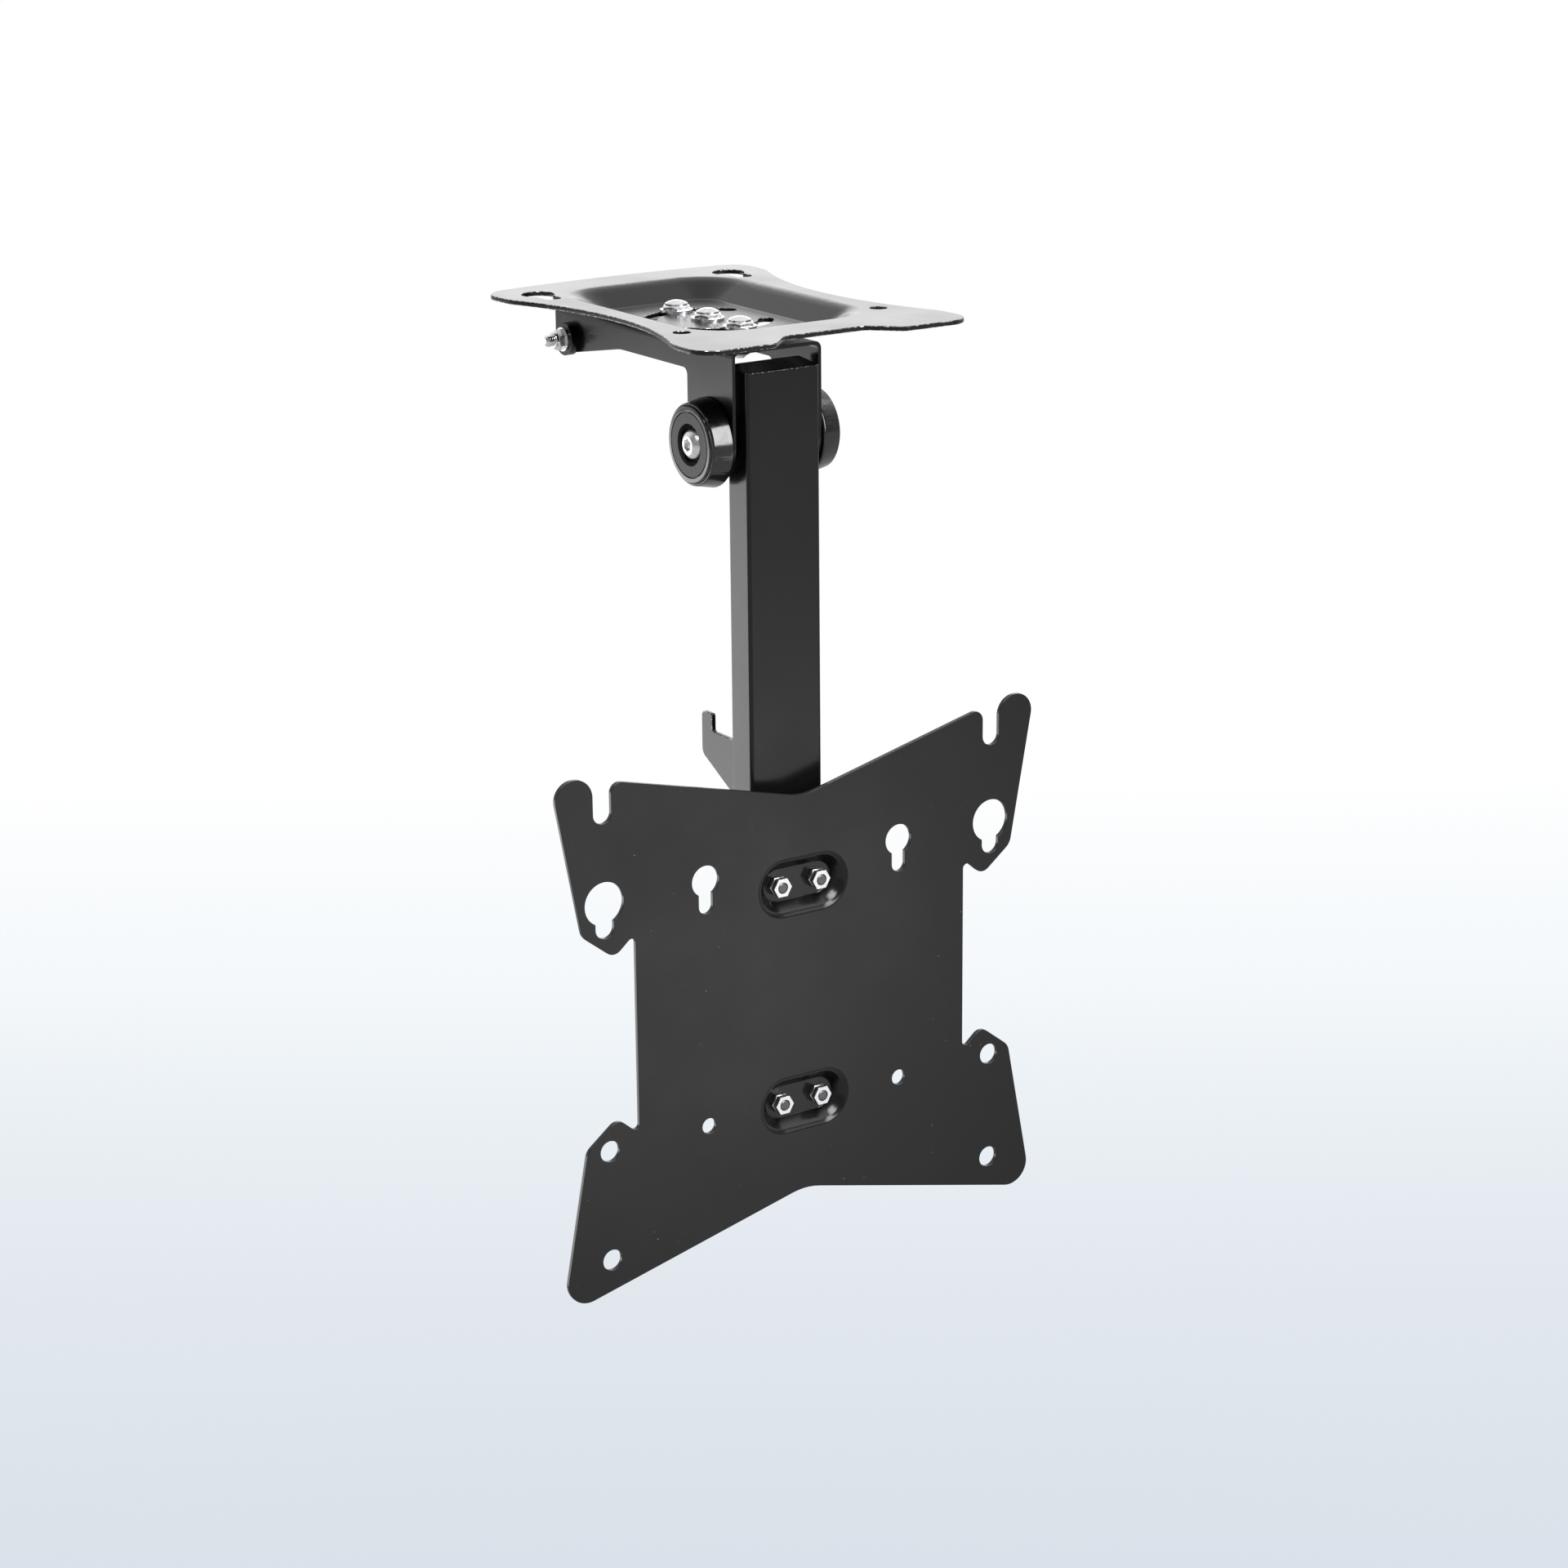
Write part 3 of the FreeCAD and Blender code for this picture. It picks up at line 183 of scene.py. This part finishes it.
def light_surroundings():
    """A studio that is white behind the mount and dim on the photographer's side."""
    world = bpy.data.worlds.new("studio")
    world.use_nodes = True
    tree = world.node_tree
    tree.nodes.clear()
    place = add(tree, "ShaderNodeTexCoord")
    facing = add(tree, "ShaderNodeVectorMath", {0: place.outputs["Generated"], 1: away_level},
                 operation="DOT_PRODUCT")
    mirrored = add(tree, "ShaderNodeMapRange", {"Value": facing.outputs["Value"], "From Min": -0.2,
                                                "From Max": 0.35, "To Min": 0.3, "To Max": 1.0},
                   interpolation_type="SMOOTHSTEP")
    path = add(tree, "ShaderNodeLightPath")
    fill = add(tree, "ShaderNodeMix", {0: path.outputs["Is Glossy Ray"], 2: 0.5,
                                       3: mirrored.outputs["Result"]})
    white = add(tree, "ShaderNodeMath", {0: path.outputs["Is Camera Ray"],
                                         1: path.outputs["Is Transmission Ray"]},
                operation="MAXIMUM")
    strength = add(tree, "ShaderNodeMix", {0: white.outputs[0], 2: fill.outputs[0], 3: 1.0})
    sky = add(tree, "ShaderNodeBackground", {"Color": linear("#FFFFFF"),
                                             "Strength": strength.outputs[0]})
    add(tree, "ShaderNodeOutputWorld", {"Surface": sky.outputs[0]})
    scene.world = world


def hang_softbox(name, toward, distance, size, brightness):
    """A softbox in a direction from the mount. brightness is its radiance, where paper is 1."""
    lamp = bpy.data.lights.new(name, "AREA")
    lamp.shape = "RECTANGLE"
    lamp.size, lamp.size_y = size
    lamp.energy = brightness * math.pi * size[0] * size[1]
    box = link(bpy.data.objects.new(name, lamp))
    toward = Vector(toward).normalized()
    box.location = LAMP_AIM + toward * distance
    box.rotation_euler = (-toward).to_track_quat("-Z", "Y").to_euler()
    box.visible_camera = False


lay_floor()
light_surroundings()
hang_softbox("tall_softbox_front_right", (0.256, -0.788, 0.56), 2.0, (0.75, 2.3), 12.0)
hang_softbox("low_softbox_rear_right", (0.56, 0.80, 0.27), 2.2, (1.5, 0.75), 1.25)
hang_softbox("low_softbox_rear_left", (-0.55, 0.80, -0.345), 1.5, (1.3, 0.62), 2.9)
hang_softbox("small_softbox_overhead", (-0.32, -0.42, 0.85), 1.7, (0.85, 0.85), 16.0)
hang_softbox("wide_softbox_overhead", (0.55, -0.12, 0.82), 1.7, (0.9, 0.9), 1.6)

# Materials


def start_material(name, base, roughness, metallic=0.0, ior=1.5):
    material = bpy.data.materials.new(name)
    material.use_nodes = True
    tree = material.node_tree
    tree.nodes.clear()
    surface = add(tree, "ShaderNodeBsdfPrincipled", {"Base Color": linear(base), "IOR": ior,
                                                     "Roughness": roughness, "Metallic": metallic})
    add(tree, "ShaderNodeOutputMaterial", {"Surface": surface.outputs[0]})
    place = add(tree, "ShaderNodeTexCoord").outputs["Object"]
    return material, tree, surface, place


def enamel(name, rubbed):
    """Baked enamel on pressed steel: a thin satin black skin with slight orange peel and dust.

    rubbed is how far handling has worn it to bright steel: 0 is whole, and 0.5 is bare in spots.
    """
    black = "#080808"
    material, tree, surface, place = start_material(name, black, 0.22, ior=1.4)
    # Orange peel: ripples about 1.2 mm across, a few micrometres high
    peel = add(tree, "ShaderNodeTexNoise", {"Vector": place, "Scale": 1 / mm(1.2), "Detail": 2.0,
                                            "Roughness": 0.5})
    # Grain of the undercoat: about 0.35 mm, just visible where the light grazes
    grain = add(tree, "ShaderNodeTexNoise", {"Vector": place, "Scale": 1 / mm(0.35), "Detail": 1.0})
    relief = add(tree, "ShaderNodeMath", {0: grain.outputs["Fac"], 1: 0.35, 2: peel.outputs["Fac"]},
                 operation="MULTIPLY_ADD")
    bump = add(tree, "ShaderNodeBump", {"Height": relief.outputs[0], "Strength": 0.06,
                                        "Distance": mm(0.05)})
    tree.links.new(bump.outputs["Normal"], surface.inputs["Normal"])
    # The gloss varies by hand-sized clouds, from a thicker or thinner coat
    cloud = add(tree, "ShaderNodeTexNoise", {"Vector": place, "Scale": 1 / mm(45), "Detail": 3.0})
    gloss = add(tree, "ShaderNodeMapRange", {"Value": cloud.outputs["Fac"], "From Min": 0.3,
                                             "From Max": 0.7, "To Min": 0.19, "To Max": 0.26})
    tree.links.new(gloss.outputs["Result"], surface.inputs["Roughness"])
    # Dust: specks 0.3 mm wide, one in a few of the 7 mm cells
    cells = add(tree, "ShaderNodeTexVoronoi", {"Vector": place, "Scale": 1 / mm(7)})
    speck = add(tree, "ShaderNodeMath", {0: cells.outputs["Distance"], 1: 0.03},
                operation="LESS_THAN")
    chance = add(tree, "ShaderNodeSeparateColor", {"Color": cells.outputs["Color"]})
    chosen = add(tree, "ShaderNodeMath", {0: chance.outputs["Red"], 1: 0.74},
                 operation="GREATER_THAN")
    dust = add(tree, "ShaderNodeMath", {0: speck.outputs[0], 1: chosen.outputs[0]},
               operation="MULTIPLY")
    dusty = add(tree, "ShaderNodeMix", {0: dust.outputs[0], 6: linear(black),
                                        7: linear("#77777A")}, data_type="RGBA")
    # Wear: streaks about 0.8 mm long where the coat is rubbed through
    streak = add(tree, "ShaderNodeTexNoise", {"Vector": place, "Scale": 1 / mm(1.6), "Detail": 4.0,
                                              "Roughness": 0.7})
    bare = add(tree, "ShaderNodeMapRange", {"Value": streak.outputs["Fac"],
                                            "From Min": 0.72 - rubbed * 0.4,
                                            "From Max": 0.76 - rubbed * 0.4})
    tone = add(tree, "ShaderNodeMix", {0: bare.outputs["Result"], 6: dusty.outputs[2],
                                       7: linear("#A3A3A6")}, data_type="RGBA")
    tree.links.new(tone.outputs[2], surface.inputs["Base Color"])
    tree.links.new(bare.outputs["Result"], surface.inputs["Metallic"])
    return material


def gloss_plastic():
    """Moulded ABS from a polished tool: deep black, and its shine shows the lamps softly."""
    material, tree, surface, place = start_material("polished black ABS", "#060607", 0.12, ior=1.54)
    surface.inputs["Coat Weight"].default_value = 0.3
    surface.inputs["Coat Roughness"].default_value = 0.12
    # Flow marks of the moulding, about 3 mm
    swirl = add(tree, "ShaderNodeTexNoise", {"Vector": place, "Scale": 1 / mm(3), "Detail": 2.0})
    gloss = add(tree, "ShaderNodeMapRange", {"Value": swirl.outputs["Fac"], "From Min": 0.3,
                                             "From Max": 0.7, "To Min": 0.15, "To Max": 0.22})
    tree.links.new(gloss.outputs["Result"], surface.inputs["Roughness"])
    bump = add(tree, "ShaderNodeBump", {"Height": swirl.outputs["Fac"], "Strength": 0.04,
                                        "Distance": mm(0.05)})
    tree.links.new(bump.outputs["Normal"], surface.inputs["Normal"])
    return material


def matt_plastic(name, base, roughness):
    """Moulding from a spark-eroded tool: fine pits about 0.25 mm that scatter the gloss."""
    material, tree, surface, place = start_material(name, base, roughness)
    pits = add(tree, "ShaderNodeTexNoise", {"Vector": place, "Scale": 1 / mm(0.25), "Detail": 2.0})
    bump = add(tree, "ShaderNodeBump", {"Height": pits.outputs["Fac"], "Strength": 0.25,
                                        "Distance": mm(0.05)})
    tree.links.new(bump.outputs["Normal"], surface.inputs["Normal"])
    shine = add(tree, "ShaderNodeMapRange", {"Value": pits.outputs["Fac"], "From Min": 0.3,
                                             "From Max": 0.7, "To Min": roughness - 0.06,
                                             "To Max": roughness + 0.06})
    tree.links.new(shine.outputs["Result"], surface.inputs["Roughness"])
    return material


def zinc_plate():
    """Bright zinc plating on cold-forged steel: silvery and a little cloudy, with small dents."""
    material, tree, surface, place = start_material("zinc-plated forged steel", "#D2D3D6", 0.2, 1.0)
    # Clouds of the plating, about 1.6 mm
    cloud = add(tree, "ShaderNodeTexNoise", {"Vector": place, "Scale": 1 / mm(1.6), "Detail": 3.0})
    tone = add(tree, "ShaderNodeMix", {0: cloud.outputs["Fac"], 6: linear("#CACBCE"),
                                       7: linear("#EDEDEE")}, data_type="RGBA")
    tree.links.new(tone.outputs[2], surface.inputs["Base Color"])
    gloss = add(tree, "ShaderNodeMapRange", {"Value": cloud.outputs["Fac"], "From Min": 0.3,
                                             "From Max": 0.7, "To Min": 0.20, "To Max": 0.32})
    tree.links.new(gloss.outputs["Result"], surface.inputs["Roughness"])
    # Forging marks, about 0.5 mm
    dents = add(tree, "ShaderNodeTexNoise", {"Vector": place, "Scale": 1 / mm(0.5), "Detail": 1.0})
    bump = add(tree, "ShaderNodeBump", {"Height": dents.outputs["Fac"], "Strength": 0.12,
                                        "Distance": mm(0.04)})
    tree.links.new(bump.outputs["Normal"], surface.inputs["Normal"])
    return material


def dark_steel():
    """Plain cut steel: the dull grey end of a threaded rod, sawn and slightly oiled."""
    material, tree, surface, place = start_material("cut steel, oiled", "#5A5A5C", 0.42, 1.0)
    # Saw marks, about 0.7 mm, coarser than the real ones so that they show
    saw = add(tree, "ShaderNodeTexNoise", {"Vector": place, "Scale": 1 / mm(0.7), "Detail": 4.0,
                                           "Roughness": 0.75})
    tone = add(tree, "ShaderNodeMix", {0: saw.outputs["Fac"], 6: linear("#2E2E30"),
                                       7: linear("#8A8A8D")}, data_type="RGBA")
    tree.links.new(tone.outputs[2], surface.inputs["Base Color"])
    bump = add(tree, "ShaderNodeBump", {"Height": saw.outputs["Fac"], "Strength": 0.5,
                                        "Distance": mm(0.08)})
    tree.links.new(bump.outputs["Normal"], surface.inputs["Normal"])
    return material


paint = enamel("baked enamel on pressed steel", 0.0)
worn_paint = enamel("baked enamel, rubbed on its edges", 0.5)
cap_gloss = gloss_plastic()
disc_matt = matt_plastic("spark-textured ABS", "#232324", 0.5)
plug_matt = matt_plastic("moulded polypropylene", "#101011", 0.5)
nylon = matt_plastic("black nylon", "#141415", 0.45)
zinc = zinc_plate()
steel = dark_steel()

# Painted pieces


def merged_copy(node):
    """A bmesh copy of a CAD piece, with its loose triangles joined and its flat faces whole."""
    shape = bmesh.new()
    shape.from_mesh(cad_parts[node].data)
    bmesh.ops.remove_doubles(shape, verts=shape.verts, dist=mm(0.002))
    bmesh.ops.dissolve_limit(shape, angle_limit=math.radians(0.4), verts=shape.verts,
                             edges=shape.edges, delimit={"NORMAL"})
    return shape


def soften(shape, name, width, body, nodes, edge_coat):
    """Rounds the sharp edges of a painted piece. edge_coat is the paint that those edges have."""
    for face in shape.faces:
        face.smooth = True
    mesh = bpy.data.meshes.new(name)
    shape.to_mesh(mesh)
    shape.free()
    mesh.materials.append(paint)
    mesh.materials.append(edge_coat)
    piece = link(bpy.data.objects.new(name, mesh))
    bevel = piece.modifiers.new("rounded edges", "BEVEL")
    bevel.width = mm(width)
    bevel.segments = 2
    bevel.limit_method = "ANGLE"
    bevel.angle_limit = math.radians(40)
    bevel.use_clamp_overlap = True
    bevel.miter_outer = "MITER_ARC"
    bevel.material = 1
    shading = piece.modifiers.new("flat faces stay flat", "WEIGHTED_NORMAL")
    shading.weight = 100
    shading.keep_sharp = True
    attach(piece, body)
    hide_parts(*nodes)


for node, body, width, name, edge_coat in (
        ("ceiling_plate", "ceiling", 0.4, "enamelled_ceiling_plate", worn_paint),
        ("channel_bracket", "channel", 0.4, "enamelled_channel", paint),
        ("hinge_bracket", "arm", 0.3, "enamelled_hinge", paint),
        ("hook_plate", "arm", 0.35, "enamelled_hook", worn_paint),
        ("screen_plate", "arm", 0.35, "enamelled_screen_plate", paint)):
    soften(merged_copy(node), name, width, body, [node], edge_coat)


def enamelled_tube():
    """The arm's square tube with its welded cap, in one skin, as the enamel covers their seam."""
    low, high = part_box("arm_tube")
    left, front, bottom_level = low
    right_side, back, _ = high
    top_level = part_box("top_plug")[1][2]
    corner = mm(1.6)
    rise = mm(1.65)
    steps = 6
    ring = []
    for x, y, start in ((right_side, back, 0), (left, back, 90), (left, front, 180),
                        (right_side, front, 270)):
        centre_x = x - math.copysign(corner, x)
        centre_y = y - corner if y == back else y + corner
        for step in range(steps + 1):
            angle = math.radians(start + 90 * step / steps)
            ring.append((centre_x + corner * math.cos(angle), centre_y + corner * math.sin(angle)))
    shape = bmesh.new()
    bottom = [shape.verts.new((x, y, bottom_level)) for x, y in ring]
    top = [shape.verts.new((x, y, top_level - rise * (back - y) / (back - front)))
           for x, y in ring]
    shape.faces.new(list(reversed(bottom)))
    shape.faces.new(top)
    for here in range(len(ring)):
        there = (here + 1) % len(ring)
        shape.faces.new((bottom[here], bottom[there], top[there], top[here]))
    bmesh.ops.recalc_face_normals(shape, faces=shape.faces)
    soften(shape, "enamelled_tube", 0.4, "arm", ["arm_tube", "top_plug"], worn_paint)


enamelled_tube()


def smooth_copy(node, body, material, name):
    """A moulded or turned piece, shaded smooth, with only its true edges sharp."""
    shape = merged_copy(node)
    for face in shape.faces:
        face.smooth = True
    for edge in shape.edges:
        edge.smooth = edge.calc_face_angle(0) < math.radians(28)
    mesh = bpy.data.meshes.new(name)
    shape.to_mesh(mesh)
    shape.free()
    mesh.materials.append(material)
    piece = link(bpy.data.objects.new(name, mesh))
    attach(piece, body)
    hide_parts(node)


for side in ("left", "right"):
    smooth_copy(f"knob_{side}", "pivot", cap_gloss, f"polished_cap_{side}")


def plated_nut(place):
    """A thin hexagon nut sheared from bar: flat, crisp faces and a small bore round the stud."""
    low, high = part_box(f"screen_nut_{place}")
    middle = ((low[0] + high[0]) / 2, (low[2] + high[2]) / 2)
    corner, bore = (high[0] - low[0]) / 2, mm(2.56)
    sides = 6
    arc_steps = 4
    bore_points = sides * arc_steps
    shape = bmesh.new()
    loops = []
    for y, radius, count in ((low[1], corner, sides), (low[1], bore, bore_points),
                             (high[1], bore, bore_points), (high[1], corner, sides)):
        turns = [2 * math.pi * step / count for step in range(count)]
        loops.append([shape.verts.new((middle[0] + radius * math.cos(turn), y,
                                       middle[1] + radius * math.sin(turn))) for turn in turns])
    outer_front, bore_front, bore_back, outer_back = loops
    for outer, inner in ((outer_front, bore_front), (outer_back, bore_back)):
        for side in range(sides):
            after = (side + 1) % sides
            arc = [inner[(side * arc_steps + step) % bore_points]
                   for step in range(arc_steps, -1, -1)]
            shape.faces.new([outer[side], outer[after]] + arc)
    for first, second in ((outer_front, outer_back), (bore_front, bore_back)):
        for here in range(len(first)):
            there = (here + 1) % len(first)
            shape.faces.new((first[here], first[there], second[there], second[here]))
    bmesh.ops.recalc_face_normals(shape, faces=shape.faces)
    corners = outer_front + outer_back
    rim = [edge for edge in shape.edges if edge.verts[0] in corners and edge.verts[1] in corners]
    bmesh.ops.bevel(shape, geom=rim, offset=mm(0.12), segments=2, affect="EDGES", profile=0.6)
    mesh = bpy.data.meshes.new(f"plated_nut_{place}")
    shape.to_mesh(mesh)
    shape.free()
    mesh.materials.append(zinc)
    piece = link(bpy.data.objects.new(f"plated_nut_{place}", mesh))
    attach(piece, "arm")
    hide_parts(f"screen_nut_{place}")


for place in ("upper_left", "upper_right", "lower_left", "lower_right"):
    plated_nut(place)

# Screw thread: helical turns on the bolt's end that stands out of its nut.


def thread_tree():
    """Turns of thread along each edge of a mesh: one coil of a ridge at every pitch."""
    tree = bpy.data.node_groups.new("thread turns", "GeometryNodeTree")
    face = tree.interface
    face.new_socket("Geometry", in_out="INPUT", socket_type="NodeSocketGeometry")
    for name in ("Pitch", "Core radius", "Ridge radius"):
        face.new_socket(name, in_out="INPUT", socket_type="NodeSocketFloat")
    face.new_socket("Metal", in_out="INPUT", socket_type="NodeSocketMaterial")
    face.new_socket("Geometry", in_out="OUTPUT", socket_type="NodeSocketGeometry")
    given = add(tree, "NodeGroupInput").outputs
    axis = add(tree, "GeometryNodeMeshToCurve", {"Mesh": given["Geometry"]})
    steps = add(tree, "GeometryNodeResampleCurve", {"Curve": axis.outputs[0],
                                                    "Length": given["Pitch"]}, mode="LENGTH")
    turn = add(tree, "GeometryNodeCurveSpiral", {"Resolution": 28, "Rotations": 1.0,
                                                 "Start Radius": given["Core radius"],
                                                 "End Radius": given["Core radius"],
                                                 "Height": given["Pitch"]})
    ridge = add(tree, "GeometryNodeCurvePrimitiveCircle", {"Resolution": 5,
                                                           "Radius": given["Ridge radius"]})
    coil = add(tree, "GeometryNodeCurveToMesh", {"Curve": turn.outputs[0],
                                                 "Profile Curve": ridge.outputs[0],
                                                 "Fill Caps": True})
    along = add(tree, "GeometryNodeInputTangent")
    aim = add(tree, "FunctionNodeAlignRotationToVector", {"Vector": along.outputs[0]}, axis="Z")
    stood = add(tree, "GeometryNodeInstanceOnPoints", {"Points": steps.outputs[0],
                                                       "Instance": coil.outputs[0],
                                                       "Rotation": aim.outputs[0]})
    real = add(tree, "GeometryNodeRealizeInstances", {"Geometry": stood.outputs[0]})
    metal = add(tree, "GeometryNodeSetMaterial", {"Geometry": real.outputs[0],
                                                  "Material": given["Metal"]})
    add(tree, "NodeGroupOutput", {"Geometry": metal.outputs[0]})
    return tree


def thread_turns(name, start, end, pitch, radius):
    """The turns of thread from start to end, as a closed shape. pitch and radius are in mm."""
    tree = thread_tree()
    mesh = bpy.data.meshes.new(name)
    mesh.from_pydata([start, end], [(0, 1)], [])
    carrier = link(bpy.data.objects.new(name, mesh))
    turns = carrier.modifiers.new("thread turns", "NODES")
    turns.node_group = tree
    sockets = {item.name: item.identifier for item in tree.interface.items_tree
               if item.in_out == "INPUT"}
    # The turns stand on the bolt's plain shank, which they enter a little
    turns[sockets["Pitch"]] = mm(pitch)
    turns[sockets["Core radius"]] = mm(radius - pitch * 0.08)
    turns[sockets["Ridge radius"]] = mm(pitch * 0.27)
    turns[sockets["Metal"]] = zinc
    bpy.context.view_layer.update()
    seen = carrier.evaluated_get(bpy.context.evaluated_depsgraph_get())
    made = bpy.data.meshes.new_from_object(seen)
    bpy.data.objects.remove(carrier)
    shape = bmesh.new()
    shape.from_mesh(made)
    bmesh.ops.recalc_face_normals(shape, faces=shape.faces)
    for part in shape.faces:
        part.smooth = True
        part.material_index = 0
    return shape


def latch_thread():
    """The thread on the latch bolt's tail, from inside its nut to the tail's taper."""
    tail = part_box("latch_bolt")[0][0]
    nut_low, nut_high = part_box("latch_nut")
    y, z = (nut_low[1] + nut_high[1]) / 2, (nut_low[2] + nut_high[2]) / 2
    start = (nut_low[0] + mm(0.2), y, z)
    end = (tail + mm(1.9), y, z)
    name = "channel_threads"
    shape = thread_turns(name, start, end, pitch=0.8, radius=2.5)
    mesh = bpy.data.meshes.new(name)
    shape.to_mesh(mesh)
    shape.free()
    mesh.materials.append(zinc)
    piece = link(bpy.data.objects.new(name, mesh))
    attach(piece, "channel")


latch_thread()

# The other CAD pieces keep their shape and get their finish.


def finish_node(node, material):
    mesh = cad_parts[node].data
    mesh.materials.clear()
    mesh.materials.append(material)


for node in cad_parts:
    if node.startswith("knob_disc"):
        finish_node(node, disc_matt)
    elif node.endswith("plug"):
        finish_node(node, plug_matt)
    elif node.startswith(("slide_washer", "swivel_disc", "ear_washer")):
        finish_node(node, nylon)
    elif node.startswith(("latch_boss", "screen_spacer")):
        finish_node(node, paint)
    elif node.startswith("screen_bolt"):
        finish_node(node, steel)
    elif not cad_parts[node].hide_render:
        finish_node(node, zinc)
